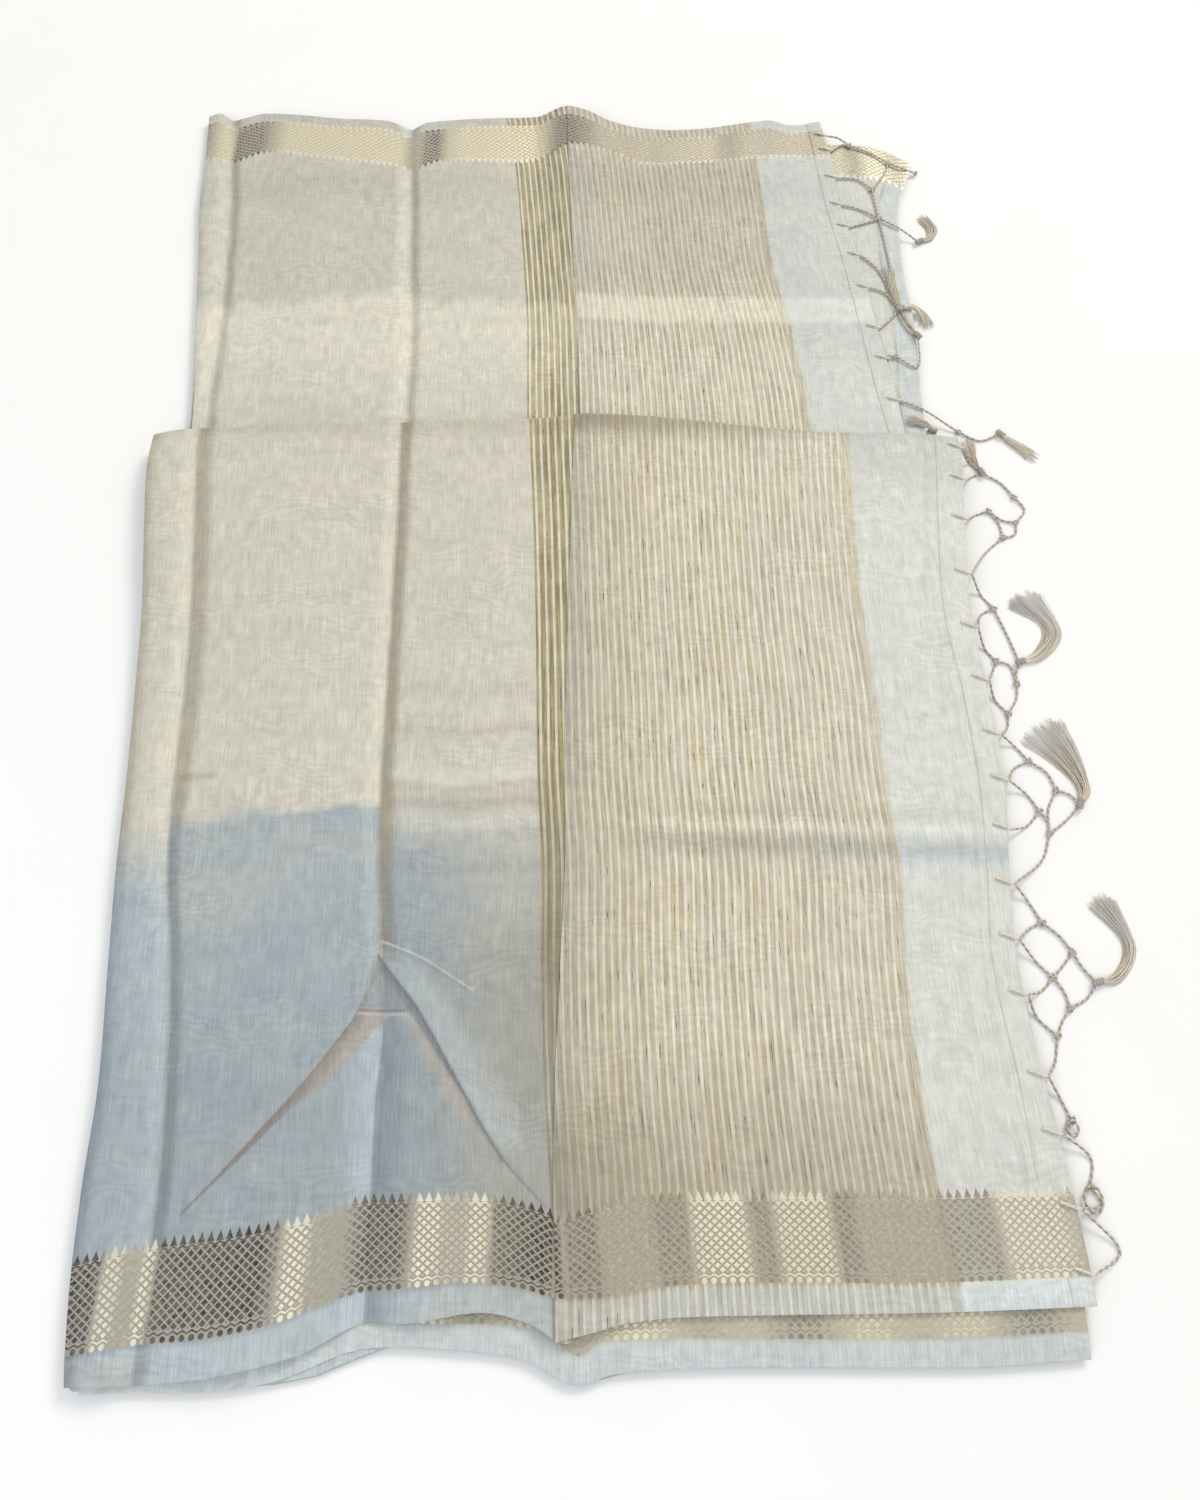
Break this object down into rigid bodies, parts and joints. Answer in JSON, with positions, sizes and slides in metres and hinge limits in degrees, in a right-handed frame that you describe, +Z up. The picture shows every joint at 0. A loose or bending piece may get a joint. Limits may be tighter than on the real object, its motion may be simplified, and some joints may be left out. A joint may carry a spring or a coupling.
{
  "type": "folded saree",
  "caption": "Cotton-silk saree folded to a flat stack and laid in a Z, with woven border, striped pallu on top and a knotted tassel fringe.",
  "frame": {"origin": "on the flat underside, below the middle of the near half of the folded stack, at floor level", "axes": "+X to the right, towards the fringe end; +Y away from the viewer, towards the far half; +Z up from the surface it lies on"},
  "size_m": [0.6503, 0.9583, 0.019],
  "materials": {
    "ivory_cloth": "sheer cotton-silk with a soft sheen and a metallic thread border",
    "striped_cloth": "sheer slub silk, cream stripes on tan",
    "hem_cloth": "turned double hem",
    "fringe_cord": "twisted silk cord and loose tassels"
  },
  "bodies": {
    "root": {"folded_layers": "ivory_cloth", "under_layer_near": "ivory_cloth", "under_layer_far": "ivory_cloth", "body_near": "ivory_cloth", "pallu_near": "striped_cloth", "hem_near": "hem_cloth", "body_far": "ivory_cloth", "pallu_far": "striped_cloth", "hem_far": "hem_cloth", "fringe_near": "fringe_cord", "fringe_far": "fringe_cord"}
  },
  "joints": []
}
